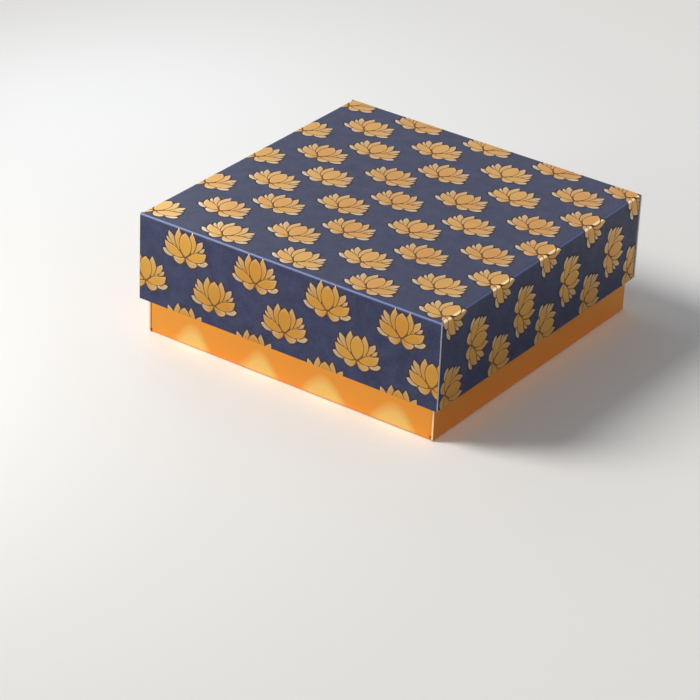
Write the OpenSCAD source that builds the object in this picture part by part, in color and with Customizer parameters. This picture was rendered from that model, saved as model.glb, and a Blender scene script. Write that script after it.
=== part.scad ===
// Square sweet box of folded board: an open tray and a telescoping lid.
// Each is one die-cut blank, folded up on rounded creases and glued at its four corners.
// The lid is printed dark and stamped with a repeat of foil lotus flowers, laid on the flat
// sheet, so the repeat runs on over the folds. All lengths are in millimetres.

/* [Box] */
// Width of the lid over its outer faces, left to right
lid_w = 152; // [110:1:260]
// Depth of the lid over its outer faces, front to back
lid_d = 152; // [110:1:260]
// Height of the lid, from the cut edge of its skirt to the top of its panel
lid_h = 40; // [24:1:70]
// Height of the tray's band that shows below the lid's skirt
band_h = 16; // [4:1:40]
// Play between the tray's wall and the lid's glue flap
lid_play = 1.2; // [0.6:0.1:3]

/* [Board] */
// Thickness of the board
board = 0.8; // [0.4:0.1:1.2]
// Radius inside each crease
crease_r = 0.4; // [0.2:0.1:1]
// Length of each corner glue flap, past its crease
flap_l = 18; // [8:1:30]
// Gap between a glue flap and the crease of the panel beside it
flap_gap = 0.8; // [0.4:0.1:3]
// Taper at the free end of each glue flap
flap_taper = 4; // [1:0.5:8]

/* [Foil] */
// Thickness of the stamped foil
foil = 0.06; // [0.04:0.01:0.2]
// Width of one lotus, tip to tip
lotus_w = 23.6; // [12:0.1:32]
// Distance between lotuses in a row
col_pitch = 36.4; // [34:0.1:60]
// Distance between rows
row_pitch = 17.4; // [17:0.1:40]
// Sideways shift of every other row
row_shift = 21; // [10:0.1:30]
// Distance of the first full column from the left edge of the panel
col_start = 3.2; // [0:0.1:30]
// Distance of the first row from the back edge of the panel
row_start = 3; // [0:0.1:16]

/* [Hidden] */
$fn = 48;

// Radius outside each crease
fold_r = crease_r + board;
// The closed box, and the tray that fits in the lid with its rim against the panel
box_h = lid_h + band_h;
inset = 2 * board + lid_play;
tray_w = lid_w - 2 * inset;
tray_d = lid_d - 2 * inset;
tray_h = box_h - board;

// One half of the lotus outline: [degrees from upright, distance from the flower's heart]
LOTUS = [
    [0, 10.8], [11, 10.1], [16, 12.2], [25, 11.4], [35, 9.7], [42, 12.8], [49, 11.8],
    [53, 10.4], [55.5, 12.1], [64, 10.6], [67, 11.8], [80, 10.1], [86, 11.8], [97, 10.4],
    [99, 6.8], [121, 5.7], [147, 4.7], [180, 1]
];
// Place of the heart on the flower's middle line
heart_y = -4.1;
// Right half of the outline about the flower's middle, and the scale that brings it to its width
lotus_half = [for (p = LOTUS) [p[1] * sin(p[0]), heart_y + p[1] * cos(p[0])]];
lotus_k = lotus_w / 2 / max([for (p = lotus_half) p[0]]);
// How far one lotus reaches sideways, up to its tips and down to its base
reach_x = lotus_w / 2;
reach_up = lotus_k * max([for (p = lotus_half) p[1]]);
reach_down = -lotus_k * min([for (p = lotus_half) p[1]]);
// A flower that would reach less than this into a stretch of the sheet is left out there
least_bite = 0.4;
// Rows and columns of the repeat, enough to run off the flat sheet on every side
spare = lid_h + lotus_w + row_shift;
rows = [-ceil(spare / row_pitch) : ceil((lid_d + spare) / row_pitch)];
cols = [-ceil(spare / col_pitch) : ceil((lid_w + spare) / col_pitch)];

// Where the flat of a panel ends and its crease begins
flat_x = lid_w / 2 - fold_r;
flat_y = lid_d / 2 - fold_r;
// Half the length of the creases beside a wall that carries glue flaps
flap_wall_y = lid_d / 2 - board - fold_r;
// Height of the flat part of the skirt
skirt_flat = lid_h - fold_r;
// Hairline crack in the foil at each edge of a crease
crack = 0.05;

// A quarter turn of board about the Z axis, from +X to +Y
module crease(length) {
    rotate_extrude(angle = 90) translate([crease_r, 0]) square([board, length]);
}

// A corner glue flap behind the end of a cover wall, with its crease at the near end
module glue_flap(z0, z1) {
    crease(z1 - z0);
    translate([0, fold_r, 0]) rotate([90, 0, 0]) linear_extrude(board)
        polygon([
            [0, 0], [0, z1 - z0], [flap_taper - flap_l, z1 - z0],
            [-flap_l, z1 - z0 - flap_taper], [-flap_l, flap_taper], [flap_taper - flap_l, 0]
        ]);
}

// A folded tray w by d by h, panel down. Its walls at +Y and -Y are cover walls with their
// cut ends showing. Its walls at +X and -X end in flaps glued behind them.
module folded_tray(w, d, h) {
    flap_wall_half = d / 2 - board - fold_r;
    translate([fold_r - w / 2, fold_r - d / 2, 0])
        cube([w - 2 * fold_r, d - 2 * fold_r, board]);
    for (side = [0, 1]) mirror([0, side, 0]) {
        translate([-w / 2, d / 2 - fold_r, fold_r]) rotate([0, 90, 0]) crease(w);
        translate([-w / 2, d / 2 - board, fold_r]) cube([w, board, h - fold_r]);
    }
    for (side = [0, 1]) mirror([side, 0, 0]) {
        translate([w / 2 - fold_r, -flap_wall_half, fold_r]) rotate([-90, 0, 0])
            crease(2 * flap_wall_half);
        translate([w / 2 - board, -flap_wall_half, fold_r])
            cube([board, 2 * flap_wall_half, h - fold_r]);
        for (end = [0, 1]) mirror([0, end, 0])
            translate([w / 2 - fold_r, flap_wall_half, fold_r + flap_gap])
                glue_flap(fold_r + flap_gap, h);
    }
}

// The tray, turned so that its rounded corners face the front and the back
module base_tray() {
    color([0.85, 0.56, 0.2]) rotate([0, 0, 90]) folded_tray(tray_d, tray_w, tray_h);
}

// The lid, panel up, with the cut ends of its cover walls at the front and the back
module lid() {
    color([0.26, 0.29, 0.42]) translate([0, 0, box_h]) rotate([180, 0, 0])
        folded_tray(lid_w, lid_d, lid_h);
}

// The outline of one lotus about its own middle, upright towards +Y
module lotus() {
    other_half = [for (i = [len(LOTUS) - 2 : -1 : 1]) [-lotus_half[i][0], lotus_half[i][1]]];
    scale(lotus_k) polygon(concat(lotus_half, other_half));
}

// Centres of the lotuses that reach into the box u0..u1 by v0..v1 of the flat sheet
function lotuses(u0, u1, v0, v1) = [
    for (row = rows, col = cols)
        let (u = -lid_w / 2 + col_start + col * col_pitch + (row % 2 == 0 ? 0 : row_shift),
             v = lid_d / 2 - row_start - row * row_pitch)
        if (u + reach_x > u0 + least_bite && u - reach_x < u1 - least_bite
            && v + reach_up > v0 + least_bite && v - reach_down < v1 - least_bite) [u, v]
];

// Whether a lotus at p lies whole inside the box
function whole(p, u0, u1, v0, v1) =
    p[0] - reach_x > u0 && p[0] + reach_x < u1 && p[1] - reach_down > v0 && p[1] + reach_up < v1;

// The foil on one flat stretch of the sheet
module flat_foil(u0, u1, v0, v1) {
    for (p = lotuses(u0, u1, v0, v1))
        if (whole(p, u0, u1, v0, v1)) translate(p) linear_extrude(foil) lotus();
        else linear_extrude(foil) intersection() {
            translate(p) lotus();
            translate([u0, v0]) square([u1 - u0, v1 - v0]);
        }
}

// The foil round one crease, which lies over the box u0..u1 by v0..v1 of the panel's plane.
// Its child is a skin of foil all along the crease, and each flower keeps its own share of it.
module crease_foil(u0, u1, v0, v1) {
    for (p = lotuses(u0, u1, v0, v1)) intersection() {
        translate([p[0], p[1], box_h - fold_r]) linear_extrude(fold_r + 2 * foil) lotus();
        children();
    }
}

// A quarter turn of foil outside a crease
module thin_shell(length) {
    rotate_extrude(angle = 90) translate([fold_r, 0]) square([foil, length]);
}

// All the lotuses: on the panel, round the creases and down the skirt
module lotus_foil() {
    skirt_x = lid_w / 2;
    skirt_y = lid_d / 2;
    color([0.9, 0.68, 0.32]) {
        translate([0, 0, box_h])
            flat_foil(crack - flat_x, flat_x - crack, crack - flat_y, flat_y - crack);
        translate([0, -skirt_y, box_h - fold_r + skirt_y]) rotate([90, 0, 0])
            flat_foil(-skirt_x, skirt_x, -skirt_y - skirt_flat, -skirt_y - crack);
        translate([0, skirt_y, box_h - fold_r + skirt_y]) rotate([-90, 0, 0])
            flat_foil(-skirt_x, skirt_x, skirt_y + crack, skirt_y + skirt_flat);
        translate([skirt_x, 0, box_h - fold_r + skirt_x]) rotate([0, 90, 0])
            flat_foil(skirt_x + crack, skirt_x + skirt_flat, -flap_wall_y, flap_wall_y);
        translate([-skirt_x, 0, box_h - fold_r + skirt_x]) rotate([0, -90, 0])
            flat_foil(-skirt_x - skirt_flat, -skirt_x - crack, -flap_wall_y, flap_wall_y);
        crease_foil(flat_x, skirt_x, -flap_wall_y, flap_wall_y)
            translate([flat_x, flap_wall_y, box_h - fold_r]) rotate([90, 0, 0])
                thin_shell(2 * flap_wall_y);
        crease_foil(-skirt_x, -flat_x, -flap_wall_y, flap_wall_y)
            translate([-flat_x, -flap_wall_y, box_h - fold_r]) rotate([90, 0, 180])
                thin_shell(2 * flap_wall_y);
        crease_foil(-skirt_x, skirt_x, flat_y, skirt_y)
            translate([-skirt_x, flat_y, box_h - fold_r]) rotate([90, 0, 90])
                thin_shell(2 * skirt_x);
        crease_foil(-skirt_x, skirt_x, -skirt_y, -flat_y)
            translate([skirt_x, -flat_y, box_h - fold_r]) rotate([90, 0, -90])
                thin_shell(2 * skirt_x);
    }
}

base_tray();
lid();
lotus_foil();
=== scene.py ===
# Square sweet box of folded board: a gold tray under a dark blue lid stamped with foil lotuses.
import math

import bmesh
import bpy
from mathutils import Matrix, Vector


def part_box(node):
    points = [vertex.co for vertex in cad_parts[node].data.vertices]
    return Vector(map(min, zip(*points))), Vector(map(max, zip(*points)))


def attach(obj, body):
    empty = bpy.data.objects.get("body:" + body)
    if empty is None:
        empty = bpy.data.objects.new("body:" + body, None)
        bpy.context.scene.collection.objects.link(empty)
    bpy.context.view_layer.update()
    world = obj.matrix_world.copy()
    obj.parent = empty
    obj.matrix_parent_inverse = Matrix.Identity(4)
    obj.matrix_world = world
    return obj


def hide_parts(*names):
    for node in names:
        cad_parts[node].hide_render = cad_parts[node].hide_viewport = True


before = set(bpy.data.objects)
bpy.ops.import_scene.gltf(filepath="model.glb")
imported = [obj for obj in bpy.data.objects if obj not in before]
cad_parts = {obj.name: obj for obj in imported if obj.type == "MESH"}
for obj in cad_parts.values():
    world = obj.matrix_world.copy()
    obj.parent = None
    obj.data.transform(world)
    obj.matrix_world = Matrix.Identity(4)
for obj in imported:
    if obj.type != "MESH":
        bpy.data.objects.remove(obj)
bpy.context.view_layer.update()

# Tray
# One blank of board faced with gold metallised paper, folded up and glued at its four corners.
# The facing is outside only: the inside and every cut edge are bare board.
tray_low, tray_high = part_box("base_tray")
MM = 0.001
# Thickness of the board, radius outside its creases, and a step too small to see
BOARD = 0.8 * MM
FOLD_R = 1.2 * MM
HAIR = 0.01 * MM
# The tray's bare board, tinted orange by painted warm light that stands for the glow of its own
# gold, at its darkest and its lightest
BOARD_IN_PAINTED_GLOW_DARK = (0.80, 0.52, 0.26)
BOARD_IN_PAINTED_GLOW_LIGHT = (0.98, 0.72, 0.42)
# The gold paper, and the soft yellow patches of painted reflection low on the front and back walls
ORANGE_GOLD = (0.81, 0.335, 0.055)
PAINTED_REFLECTION_GOLD = (0.85, 0.73, 0.27)
REFLECTION_PITCH = 34.8 * MM
REFLECTION_TURN = 3.4
REFLECTION_TOP = 12 * MM
REFLECTION_FOOT = 2 * MM


def place(tree, kind, links=(), **settings):
    """A new shader node. links pairs an input's name with an output or a plain value."""
    made = tree.nodes.new("ShaderNode" + kind)
    for name, value in settings.items():
        setattr(made, name, value)
    for name, value in dict(links).items():
        if isinstance(value, bpy.types.NodeSocket):
            tree.links.new(value, made.inputs[name])
        else:
            made.inputs[name].default_value = value
    return made


def reckon(tree, operation, first, second=0.0, third=0.0):
    """The output of one Math node."""
    links = {0: first, 1: second, 2: third}
    return place(tree, "Math", links, operation=operation).outputs[0]


def beyond(tree, value, start):
    """How far a length runs past its start, or nothing."""
    return reckon(tree, "MAXIMUM", reckon(tree, "SUBTRACT", value, start), 0.0)


def radius(tree, *lengths):
    """The root of the sum of the squares of some lengths."""
    total = 0.0
    for length in lengths:
        total = reckon(tree, "MULTIPLY_ADD", length, length, total)
    return reckon(tree, "SQRT", total)


def facing_mask(tree, cover, cover_half, flap, flap_half, crease):
    """1 on the printed outside of a folded tray, 0 on its bare inside and cut edges.
    cover and flap are distances from the middle towards the cover walls, whose ends are cut,
    and towards the walls with glue flaps. crease is how far a point runs into the panel's
    creases from the side of the walls."""
    skin = FOLD_R - 5 * HAIR
    wall = beyond(tree, cover, cover_half - FOLD_R)
    on_cover = reckon(tree, "GREATER_THAN", radius(tree, wall, crease), skin)
    past_end = reckon(tree, "GREATER_THAN", flap, flap_half - HAIR)
    cut_end = reckon(tree, "GREATER_THAN", cover, cover_half - BOARD - FOLD_R + 5 * HAIR)
    bare = reckon(tree, "MULTIPLY", past_end, cut_end)
    on_cover = reckon(tree, "MULTIPLY", on_cover, reckon(tree, "SUBTRACT", 1.0, bare))
    side = beyond(tree, flap, flap_half - FOLD_R)
    corner = beyond(tree, cover, cover_half - BOARD - FOLD_R)
    on_flap = reckon(tree, "GREATER_THAN", radius(tree, side, corner, crease), skin)
    behind = reckon(tree, "LESS_THAN", cover, cover_half - BOARD - HAIR)
    return reckon(tree, "MAXIMUM", on_cover, reckon(tree, "MULTIPLY", on_flap, behind))


def new_material(name):
    """An empty node material, with its tree and its surface socket."""
    made = bpy.data.materials.new(name)
    made.use_nodes = True
    made.node_tree.nodes.clear()
    surface = made.node_tree.nodes.new("ShaderNodeOutputMaterial").inputs["Surface"]
    return made, made.node_tree, surface


def blend_colour(tree, factor, first, second):
    """The colour output of a Mix node. A colour is a socket or three numbers."""
    made = place(tree, "Mix", data_type="RGBA")
    sources = ((made.inputs[0], factor), (made.inputs[6], first), (made.inputs[7], second))
    for socket, value in sources:
        if isinstance(value, bpy.types.NodeSocket):
            tree.links.new(value, socket)
        elif socket.type == "RGBA":
            socket.default_value = (*value, 1.0)
        else:
            socket.default_value = value
    return made.outputs[2]


def noise(tree, point, scale, detail):
    """The grey value of a Noise texture with so many cells to a metre."""
    return place(tree, "TexNoise", {"Vector": point, "Scale": scale, "Detail": detail}).outputs[0]


def stretched(tree, value, low, high):
    """0 where the value is at low, 1 where it is at high, and clamped beyond."""
    links = {"Value": value, "From Min": low, "From Max": high}
    return place(tree, "MapRange", links).outputs["Result"]


def bumped(tree, height, strength, depth):
    """A normal that a height pattern has roughened."""
    links = {"Height": height, "Strength": strength, "Distance": depth}
    return place(tree, "Bump", links).outputs[0]


def bare_board(tree, point, shade, light):
    """The board itself, between two colours, with its pressed fibres."""
    fibre = noise(tree, point, 1400.0, 5.0)
    tone = reckon(tree, "MULTIPLY_ADD", noise(tree, point, 90.0, 2.0), 0.5,
                  reckon(tree, "MULTIPLY", fibre, 0.5))
    return place(tree, "BsdfPrincipled", {
        "Base Color": blend_colour(tree, tone, shade, light),
        "Roughness": 0.85,
        "Normal": bumped(tree, fibre, 0.25, 0.05 * MM),
    })


def board_material(name, mask_of, facing_of, shade, light):
    """Bare board where mask_of says 0, and the facing that facing_of makes where it says 1."""
    made, tree, surface = new_material(name)
    point = place(tree, "TexCoord").outputs["Object"]
    axes = place(tree, "SeparateXYZ", {0: point}).outputs
    board = bare_board(tree, point, shade, light)
    facing = facing_of(tree, point, axes)
    shader = place(tree, "MixShader", {
        0: mask_of(tree, axes), 1: board.outputs[0], 2: facing.outputs[0],
    })
    tree.links.new(shader.outputs[0], surface)
    return made


def tray_mask(tree, axes):
    across = reckon(tree, "ABSOLUTE", axes["X"])
    along = reckon(tree, "ABSOLUTE", axes["Y"])
    crease = reckon(tree, "SUBTRACT", tray_low.z + FOLD_R, axes["Z"])
    crease = reckon(tree, "MAXIMUM", crease, 0.0)
    return facing_mask(tree, across, tray_high.x, along, tray_high.y, crease)


def gold_paper(tree, point, axes):
    """Metallised paper: a satin orange gold, with soft yellow patches of painted reflection at the
    foot of two walls.
    """
    low = stretched(tree, axes["Z"], REFLECTION_TOP, REFLECTION_FOOT)
    turn = reckon(tree, "MULTIPLY_ADD", axes["X"], 2 * math.pi / REFLECTION_PITCH, REFLECTION_TURN)
    turn = reckon(tree, "MULTIPLY_ADD", noise(tree, point, 30.0, 1.0), 2.0, turn)
    patches = reckon(tree, "MULTIPLY_ADD", low, 1.5, reckon(tree, "SINE", turn))
    on_wall = stretched(tree, axes["Z"], tray_low.z, tray_low.z + FOLD_R)
    # Painted reflection: yellow mixed into the gold in soft patches near the foot of the walls
    yellow = reckon(tree, "MULTIPLY", stretched(tree, patches, 1.0, 1.9), 0.6)
    yellow = reckon(tree, "MULTIPLY", yellow, on_wall)
    tooth = noise(tree, point, 1800.0, 3.0)
    return place(tree, "BsdfPrincipled", {
        "Base Color": blend_colour(tree, yellow, ORANGE_GOLD, PAINTED_REFLECTION_GOLD),
        "Metallic": 1.0,
        "Roughness": 0.36,
        "Normal": bumped(tree, tooth, 0.08, 0.02 * MM),
    })


gold_board = board_material(
    "gold_faced_board", tray_mask, gold_paper, BOARD_IN_PAINTED_GLOW_DARK, BOARD_IN_PAINTED_GLOW_LIGHT
)
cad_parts["base_tray"].data.materials.clear()
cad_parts["base_tray"].data.materials.append(gold_board)

# Lid
# One blank of white board printed dark blue, folded down over the tray. Along the middle of the
# creases a paler blue is painted, partly as a painted highlight and partly as the print stretched
# thin there.
lid_low, lid_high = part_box("lid")
LID_BOARD_DARK = (0.60, 0.56, 0.50)
LID_BOARD_LIGHT = (0.84, 0.82, 0.78)
INK_DARK = (0.018, 0.023, 0.066)
INK_LIGHT = (0.040, 0.050, 0.116)
STRETCHED_INK_AND_HIGHLIGHT = (0.17, 0.21, 0.45)


def lid_mask(tree, axes):
    across = reckon(tree, "ABSOLUTE", axes["X"])
    along = reckon(tree, "ABSOLUTE", axes["Y"])
    crease = beyond(tree, axes["Z"], lid_high.z - FOLD_R)
    return facing_mask(tree, along, lid_high.y, across, lid_high.x, crease)


def on_fold(tree, axes):
    """1 along the middle of the creases round the lid's panel, where a highlight is painted, and 0
    on the flat board.
    """
    across = beyond(tree, reckon(tree, "ABSOLUTE", axes["X"]), lid_high.x - FOLD_R)
    along = beyond(tree, reckon(tree, "ABSOLUTE", axes["Y"]), lid_high.y - FOLD_R)
    up = beyond(tree, axes["Z"], lid_high.z - FOLD_R)
    both = reckon(tree, "MULTIPLY", up, reckon(tree, "MAXIMUM", across, along))
    return reckon(tree, "POWER", reckon(tree, "MULTIPLY", both, 2 / (FOLD_R * FOLD_R)), 3.0)


def blue_print(tree, point, axes):
    """Dark blue ink with the grain of the board showing through, and a paler blue along the
    creases that is partly painted highlight.
    """
    grain = noise(tree, point, 1000.0, 4.0)
    cloud = noise(tree, point, 160.0, 3.0)
    tone = stretched(tree, reckon(tree, "ADD", grain, cloud), 0.7, 1.3)
    ink = blend_colour(tree, tone, INK_DARK, INK_LIGHT)
    # Painted highlight: a paler blue along the creases, which also stands for print stretched thin
    # there
    fold_highlight = on_fold(tree, axes)
    return place(tree, "BsdfPrincipled", {
        "Base Color": blend_colour(tree, fold_highlight, ink, STRETCHED_INK_AND_HIGHLIGHT),
        "Roughness": reckon(tree, "MULTIPLY_ADD", fold_highlight, -0.20, 0.46),
        "Specular IOR Level": 0.25,
        "Normal": bumped(tree, grain, 0.12, 0.03 * MM),
    })


blue_board = board_material(
    "blue_printed_board", lid_mask, blue_print, LID_BOARD_DARK, LID_BOARD_LIGHT
)
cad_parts["lid"].data.materials.clear()
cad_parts["lid"].data.materials.append(blue_board)

# Lotus foil
# Gold foil stamped on the flat blank before it is folded: thirteen petals to a flower, each a
# raised blade with a pressed rim painted paler as a highlight, on a dark patch of painted shade.
# Lengths are in millimetres, on the flat blank, up to where each sheet becomes a piece.
COL_PITCH = 36.4
ROW_PITCH = 17.4
ROW_SHIFT = 21.0
COL_START = 3.2
ROW_START = 3.0
# Rows and columns enough to run off the blank on every side
ROWS = range(-6, 16)
COLS = range(-4, 9)
# Where a flower's petals meet, and how far it reaches from its middle
HEART = Vector((0.0, -4.1))
REACH = Vector((12.8, 9.2))
# Heights over the print: the patch of painted shade, the lines of painted shade between petals,
# the rims and the blades
PATCH_H = 0.02
LINE_H = 0.03
RIM_H = 0.04
BLADE_H = 0.08
# Share of the patch that the lines' face covers, width of a rim, and a blade's share of its petal
LINE_REACH = 0.9
RIM_W = 0.25
BLADE_REACH = 0.95
CREASE_STEPS = 6

# Each petal's outline in millimetres about the flower's middle, from its tip round to its tip.
# All but the first stand on the right, and have a twin on the left.
PETALS = {
    "middle": [
        (0.0, 7.1), (1.4, 6.0), (2.7, 4.1), (3.1, 1.7), (2.6, -0.8), (1.35, -2.7), (0.0, -3.7),
        (-1.35, -2.7), (-2.6, -0.8), (-3.1, 1.7), (-2.7, 4.1), (-1.4, 6.0),
    ],
    "upright": [
        (3.55, 8.15), (4.6, 6.5), (5.35, 4.6), (5.4, 2.6), (4.8, 0.7), (3.6, -1.4), (3.05, -1.1),
        (3.45, 1.6), (3.1, 4.2), (2.4, 6.0),
    ],
    "leaning": [
        (8.8, 5.7), (9.05, 4.2), (8.4, 2.5), (7.0, 0.95), (5.3, -0.3), (4.35, -1.0), (5.2, 0.6),
        (5.8, 2.3), (6.3, 3.9), (7.4, 4.9),
    ],
    "slim": [
        (10.0, 2.95), (9.75, 1.65), (8.9, 0.8), (7.6, 0.3), (6.3, 0.0), (5.6, -0.4), (7.0, 0.6),
        (8.4, 1.9), (9.15, 2.6),
    ],
    "broad": [
        (10.85, 0.65), (10.55, -1.0), (9.9, -2.6), (8.6, -3.85), (6.8, -4.6), (4.6, -4.95),
        (2.7, -4.75), (1.3, -4.05), (2.1, -3.1), (3.6, -1.75), (5.3, -0.8), (7.3, -0.25),
        (9.0, 0.1), (10.0, 0.55),
    ],
    "low": [
        (11.9, -3.35), (11.15, -4.6), (9.9, -5.45), (8.4, -5.8), (7.1, -5.65), (6.5, -5.15),
        (7.9, -4.7), (9.25, -3.95), (10.3, -3.2), (11.1, -3.05),
    ],
    "base": [
        (6.05, -5.45), (5.75, -6.6), (4.75, -7.5), (3.3, -7.85), (1.85, -7.45), (0.9, -6.3),
        (0.35, -4.9), (0.8, -4.5), (1.8, -4.95), (3.2, -5.25), (4.8, -5.25),
    ],
}
# How much each petal's foil is painted paler as a highlight, from the golden middle of the flower
# to its outermost petals
PETAL_HIGHLIGHT = {
    "middle": 0.0, "broad": 0.08, "upright": 0.17, "leaning": 0.24, "slim": 0.3, "base": 0.35,
    "low": 0.7,
}
# Half the outline of the dark patch of painted shade: degrees from upright, and distance from the
# heart
PATCH = [
    (0, 11.6), (10, 11.3), (16, 12.95), (24, 12.4), (34, 11.0), (42, 13.7), (49, 12.9), (53, 11.7),
    (56, 13.0), (63, 11.8), (67, 12.8), (79, 11.4), (86, 12.7), (98, 11.5), (104, 8.2),
    (121, 6.9), (147, 5.8), (180, 2.0),
]


def rounded(points, cuts):
    """Points on a smooth curve through an outline, with its first point left sharp."""
    made = []
    ring = [points[0]] + list(points) + [points[0], points[0]]
    for step in range(1, len(ring) - 2):
        before, start, end, after = (Vector(ring[step + k]) for k in (-1, 0, 1, 2))
        for cut in range(cuts):
            t = cut / cuts
            made.append(0.5 * (
                2 * start + (end - before) * t
                + (2 * before - 5 * start + 4 * end - after) * t * t
                + (3 * start - before - 3 * end + after) * t ** 3
            ))
    return made


def add_outline(flower, outline, height, slot, mirrored):
    """One flat face of the flower at a height, and its material slot."""
    side = -1.0 if mirrored else 1.0
    corners = [flower.verts.new((side * p.x, p.y, height)) for p in outline]
    face = flower.faces.new(corners)
    face.material_index = slot
    face.normal_update()
    if face.normal.z < 0:
        face.normal_flip()
    return face


def lotus_mesh():
    """One flower, flat, in millimetres about its own middle. Its uv holds how far a point lies
    along its petal, and how much painted highlight pales that petal."""
    flower = bmesh.new()
    reach = flower.loops.layers.uv.new("petal")
    # The patch and the lines between the petals are painted shade
    for share, height, slot in ((1.0, PATCH_H, 2), (LINE_REACH, LINE_H, 3)):
        half = []
        for degrees, distance in PATCH:
            turn = math.radians(degrees)
            half.append(HEART + share * distance * Vector((math.sin(turn), math.cos(turn))))
        twin = [Vector((-p.x, p.y)) for p in half[-2:0:-1]]
        add_outline(flower, half + twin, height, slot, False)
    for name, points in PETALS.items():
        outline = rounded(points, 2)
        tip = (Vector(points[0]) - HEART).length
        for mirrored in ([False] if name == "middle" else [False, True]):
            blade = add_outline(flower, outline, RIM_H, 0, mirrored)
            rim = bmesh.ops.inset_region(
                flower, faces=[blade], thickness=RIM_W, depth=0.0,
                use_even_offset=False, use_boundary=True,
            )["faces"]
            for face in rim:
                face.material_index = 1
            for vert in blade.verts:
                vert.co.xy = HEART + BLADE_REACH * (vert.co.xy - HEART)
                vert.co.z = BLADE_H
            for face in [blade] + rim:
                for loop in face.loops:
                    along = (loop.vert.co.xy - HEART).length / tip
                    loop[reach].uv = (along, PETAL_HIGHLIGHT[name])
    made = bpy.data.meshes.new("lotus_flower")
    flower.to_mesh(made)
    flower.free()
    return made


flower_mesh = lotus_mesh()
lid_half = Vector((lid_high.x, lid_high.y)) / MM
fold = FOLD_R / MM
skirt = (lid_high.z - lid_low.z) / MM
lid_top = lid_high.z / MM
flat = lid_half - Vector((fold, fold))
flap_wall = lid_half.y - BOARD / MM - fold


def cut_sheet(sheet, point, normal, outer):
    """Cuts across a sheet, and throws away what lies outside if outer is set."""
    bmesh.ops.bisect_plane(
        sheet, geom=sheet.verts[:] + sheet.edges[:] + sheet.faces[:],
        dist=1e-5, plane_co=point, plane_no=normal, clear_outer=outer,
    )


def stamped(low, high):
    """The flowers that reach into one stretch of the flat blank, cut to it."""
    sheet = bmesh.new()
    for row in ROWS:
        for col in COLS:
            shift = ROW_SHIFT if row % 2 else 0.0
            u = COL_START - lid_half.x + col * COL_PITCH + shift
            v = lid_half.y - ROW_START - row * ROW_PITCH
            across = low.x - REACH.x < u < high.x + REACH.x
            if not (across and low.y - REACH.y < v < high.y + REACH.y):
                continue
            known = len(sheet.verts)
            sheet.from_mesh(flower_mesh)
            sheet.verts.ensure_lookup_table()
            bmesh.ops.translate(sheet, verts=sheet.verts[known:], vec=(u, v, 0.0))
    cut_sheet(sheet, (low.x, 0, 0), (-1, 0, 0), True)
    cut_sheet(sheet, (high.x, 0, 0), (1, 0, 0), True)
    cut_sheet(sheet, (0, low.y, 0), (0, -1, 0), True)
    cut_sheet(sheet, (0, high.y, 0), (0, 1, 0), True)
    return sheet


def fold_down(sheet, axis, side):
    """Bends the part of a sheet past the panel's flat round the crease and down the wall."""
    start = flat[axis]
    normal = Vector((0, 0, 0))
    normal[axis] = 1
    for step in range(1, CREASE_STEPS + 1):
        cut_sheet(sheet, normal * side * (start + fold * step / CREASE_STEPS), normal, False)
    for face in sheet.faces:
        face.smooth = side * face.calc_center_median()[axis] < start + fold
    for vert in sheet.verts:
        out = side * vert.co[axis] - start
        height = vert.co.z
        if out < fold:
            turn = out / fold * math.pi / 2
            vert.co[axis] = side * (start + (fold + height) * math.sin(turn))
            vert.co.z = lid_top - fold + (fold + height) * math.cos(turn)
        else:
            vert.co[axis] = side * (start + fold + height)
            vert.co.z = lid_top - out


def finished_piece(name, sheets, materials):
    """Joins sheets in millimetres into one object in metres."""
    joined = bmesh.new()
    for sheet in sheets:
        part = bpy.data.meshes.new("part")
        sheet.to_mesh(part)
        sheet.free()
        joined.from_mesh(part)
        bpy.data.meshes.remove(part)
    bmesh.ops.scale(joined, verts=joined.verts, vec=(MM, MM, MM))
    bmesh.ops.triangulate(joined, faces=joined.faces)
    mesh = bpy.data.meshes.new(name)
    joined.to_mesh(mesh)
    joined.free()
    for material in materials:
        mesh.materials.append(material)
    made = bpy.data.objects.new(name, mesh)
    bpy.context.scene.collection.objects.link(made)
    return made


# A paler gold painted along the creases as a highlight on the foil
FOLD_HIGHLIGHT_GOLD = (0.92, 0.70, 0.42)


def foil_material(name, deep, warm, pale, rough):
    """Stamped foil: gold that drifts from deep to warm over the sheet, with painted highlight that
    pales it toward the petals' tips and along the creases, and a faint mottle from the board."""
    made, tree, surface = new_material(name)
    point = place(tree, "TexCoord").outputs["Object"]
    petal = place(tree, "UVMap", uv_map="petal").outputs[0]
    petal_axes = place(tree, "SeparateXYZ", {0: petal}).outputs
    axes = place(tree, "SeparateXYZ", {0: point}).outputs
    mottle = noise(tree, point, 900.0, 3.0)
    # Painted highlight: the foil pales toward the petals' tips and on the outer petals
    shade = reckon(tree, "MULTIPLY_ADD", mottle, 0.3, petal_axes["X"])
    shade = reckon(tree, "ADD", shade, petal_axes["Y"])
    slow = stretched(tree, noise(tree, point, 24.0, 1.0), 0.35, 0.65)
    gold = blend_colour(tree, slow, deep, warm)
    colour = blend_colour(tree, stretched(tree, shade, 0.9, 1.55), gold, pale)
    foil = place(tree, "BsdfPrincipled", {
        "Base Color": blend_colour(tree, on_fold(tree, axes), colour, FOLD_HIGHLIGHT_GOLD),
        "Metallic": 1.0,
        "Roughness": rough,
        "Coat Weight": 0.7,
        "Coat Roughness": 0.4,
        "Normal": bumped(tree, mottle, 0.15, 0.03 * MM),
    })
    tree.links.new(foil.outputs[0], surface)
    return made


def painted_shade_material(name, dark, light):
    """Print or foil painted dark and brown as shade round and between the petals."""
    made, tree, surface = new_material(name)
    grain = noise(tree, place(tree, "TexCoord").outputs["Object"], 1100.0, 3.0)
    ink = place(tree, "BsdfPrincipled", {
        "Base Color": blend_colour(tree, grain, dark, light),
        "Roughness": 0.7,
        "Specular IOR Level": 0.25,
    })
    tree.links.new(ink.outputs[0], surface)
    return made


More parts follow.
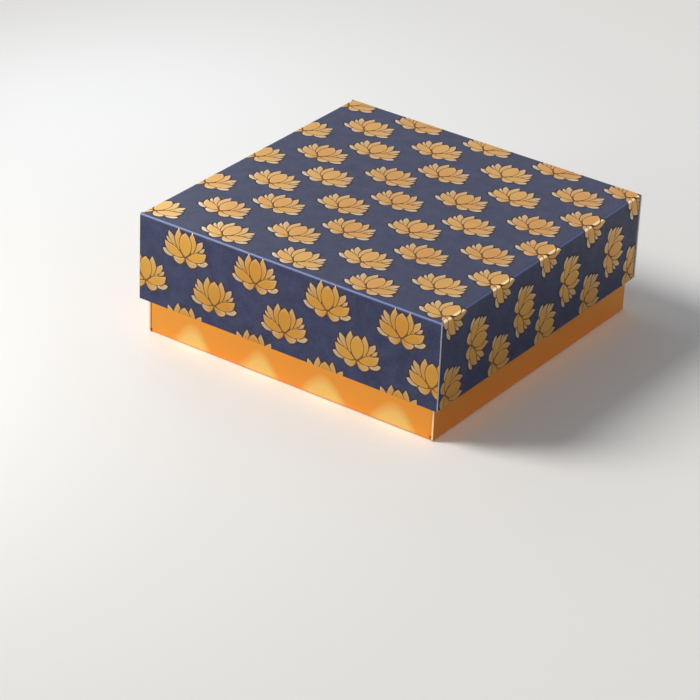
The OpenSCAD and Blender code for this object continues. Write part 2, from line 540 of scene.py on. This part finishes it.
foil_finish = [
    foil_material(
        "lotus_gold", (0.54, 0.235, 0.012), (0.59, 0.300, 0.028), (0.50, 0.38, 0.22), 0.44
    ),
    # The rims' paler gold is partly painted highlight, on top of the real sloped rim
    foil_material(
        "lotus_rim_highlight_gold", (0.54, 0.27, 0.035), (0.58, 0.33, 0.07), (0.55, 0.45, 0.32), 0.38
    ),
    # Painted shade round and between the petals
    painted_shade_material("painted_shade_print", (0.040, 0.014, 0.011), (0.080, 0.034, 0.025)),
    painted_shade_material("painted_shade_foil", (0.13, 0.050, 0.012), (0.22, 0.095, 0.025)),
]
panel_sheet = stamped(-flat, flat)
bmesh.ops.translate(panel_sheet, verts=panel_sheet.verts, vec=(0, 0, lid_top))
skirt_sheets = []
for side in (-1, 1):
    ends = sorted((side * flat.x, side * (lid_half.x + skirt - fold)))
    sheet = stamped(Vector((ends[0], -flap_wall)), Vector((ends[1], flap_wall)))
    fold_down(sheet, 0, side)
    skirt_sheets.append(sheet)
    ends = sorted((side * flat.y, side * (lid_half.y + skirt - fold)))
    sheet = stamped(Vector((-lid_half.x, ends[0])), Vector((lid_half.x, ends[1])))
    fold_down(sheet, 1, side)
    skirt_sheets.append(sheet)
panel_foil = finished_piece("panel_lotuses", [panel_sheet], foil_finish)
skirt_foil = finished_piece("skirt_lotuses", skirt_sheets, foil_finish)
bpy.data.meshes.remove(flower_mesh)
for foil in (panel_foil, skirt_foil):
    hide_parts("lotus_foil")
    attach(foil, "lid")

# Studio
# A pale floor that runs back out of sight, a wide warm sun from the front left, a low lamp and
# a cool window close by on the left, and the camera where the photograph was taken from.
FRAME_PX = 700
FOCAL_PX = 3068.6
AZIMUTH = math.radians(34.63)
ELEVATION = math.radians(28.70)
ROLL = math.radians(2.44)
DISTANCE = 1.2933
AIM_RIGHT = -0.01605
AIM_UP = -0.0626

back = Vector((
    math.sin(AZIMUTH) * math.cos(ELEVATION),
    -math.cos(AZIMUTH) * math.cos(ELEVATION),
    math.sin(ELEVATION),
))
right = (-back).cross(Vector((0, 0, 1))).normalized()
up = right.cross(-back)
turned_right = math.cos(ROLL) * right + math.sin(ROLL) * up
turned_up = math.cos(ROLL) * up - math.sin(ROLL) * right
top_middle = Vector((0, 0, lid_high.z))
camera_data = bpy.data.cameras.new("camera")
camera_data.sensor_width = 36.0
camera_data.lens = FOCAL_PX * camera_data.sensor_width / FRAME_PX
camera_data.clip_end = 20.0
camera = bpy.data.objects.new("camera", camera_data)
bpy.context.scene.collection.objects.link(camera)
pose = Matrix((turned_right, turned_up, back)).transposed().to_4x4()
pose.translation = top_middle + back * DISTANCE + right * AIM_RIGHT + up * AIM_UP
camera.matrix_world = pose
bpy.context.scene.camera = camera

floor_mesh = bmesh.new()
bmesh.ops.create_circle(floor_mesh, cap_ends=True, segments=64, radius=4.0)
floor_data = bpy.data.meshes.new("floor")
floor_mesh.to_mesh(floor_data)
floor_mesh.free()
floor = bpy.data.objects.new("floor", floor_data)
bpy.context.scene.collection.objects.link(floor)
FLOOR_WHITE = (0.94, 0.94, 0.94, 1.0)
floor_paint, floor_tree, floor_surface = new_material("floor_paint")
matt = place(floor_tree, "BsdfPrincipled", {"Base Color": FLOOR_WHITE, "Roughness": 0.9})
floor_tree.links.new(matt.outputs[0], floor_surface)
floor_data.materials.append(floor_paint)


def lamp(name, kind, place_at, energy, colour):
    """The data of a new lamp that points at the box."""
    data = bpy.data.lights.new(name, kind)
    data.energy = energy
    data.color = colour
    made = bpy.data.objects.new(name, data)
    bpy.context.scene.collection.objects.link(made)
    made.location = place_at
    made.rotation_euler = (top_middle - Vector(place_at)).to_track_quat("-Z", "Y").to_euler()
    return data


WARM_LIGHT = (1.0, 0.96, 0.90)
COOL_LIGHT = (0.80, 0.90, 1.0)
sun = lamp("front_left_sun", "SUN", (-0.62, -0.36, 0.656), 2.3, WARM_LIGHT)
sun.angle = math.radians(24)
low_lamp = lamp("low_left_lamp", "AREA", (-0.26, -0.30, 0.13), 0.45, WARM_LIGHT)
low_lamp.size = 0.15
window = lamp("left_window", "AREA", (-0.28, 0.10, 0.22), 0.18, COOL_LIGHT)
window.size = 0.2

# The room's soft light, and plain white where a mirror or the camera looks past the floor
world = bpy.data.worlds.new("studio_world")
bpy.context.scene.world = world
world.use_nodes = True
world.node_tree.nodes.clear()
rays = place(world.node_tree, "LightPath").outputs
seen = reckon(world.node_tree, "MAXIMUM", rays["Is Camera Ray"], rays["Is Transmission Ray"])
seen = reckon(world.node_tree, "MAXIMUM", seen, rays["Is Glossy Ray"])
room = place(world.node_tree, "Background", {"Color": (0.94, 0.97, 1.0, 1.0), "Strength": 0.26})
white = place(world.node_tree, "Background", {"Color": (1.0, 1.0, 1.0, 1.0), "Strength": 1.0})
mixed = place(world.node_tree, "MixShader", {0: seen, 1: room.outputs[0], 2: white.outputs[0]})
sky = world.node_tree.nodes.new("ShaderNodeOutputWorld")
world.node_tree.links.new(mixed.outputs[0], sky.inputs["Surface"])

bpy.context.scene.view_settings.view_transform = "Standard"
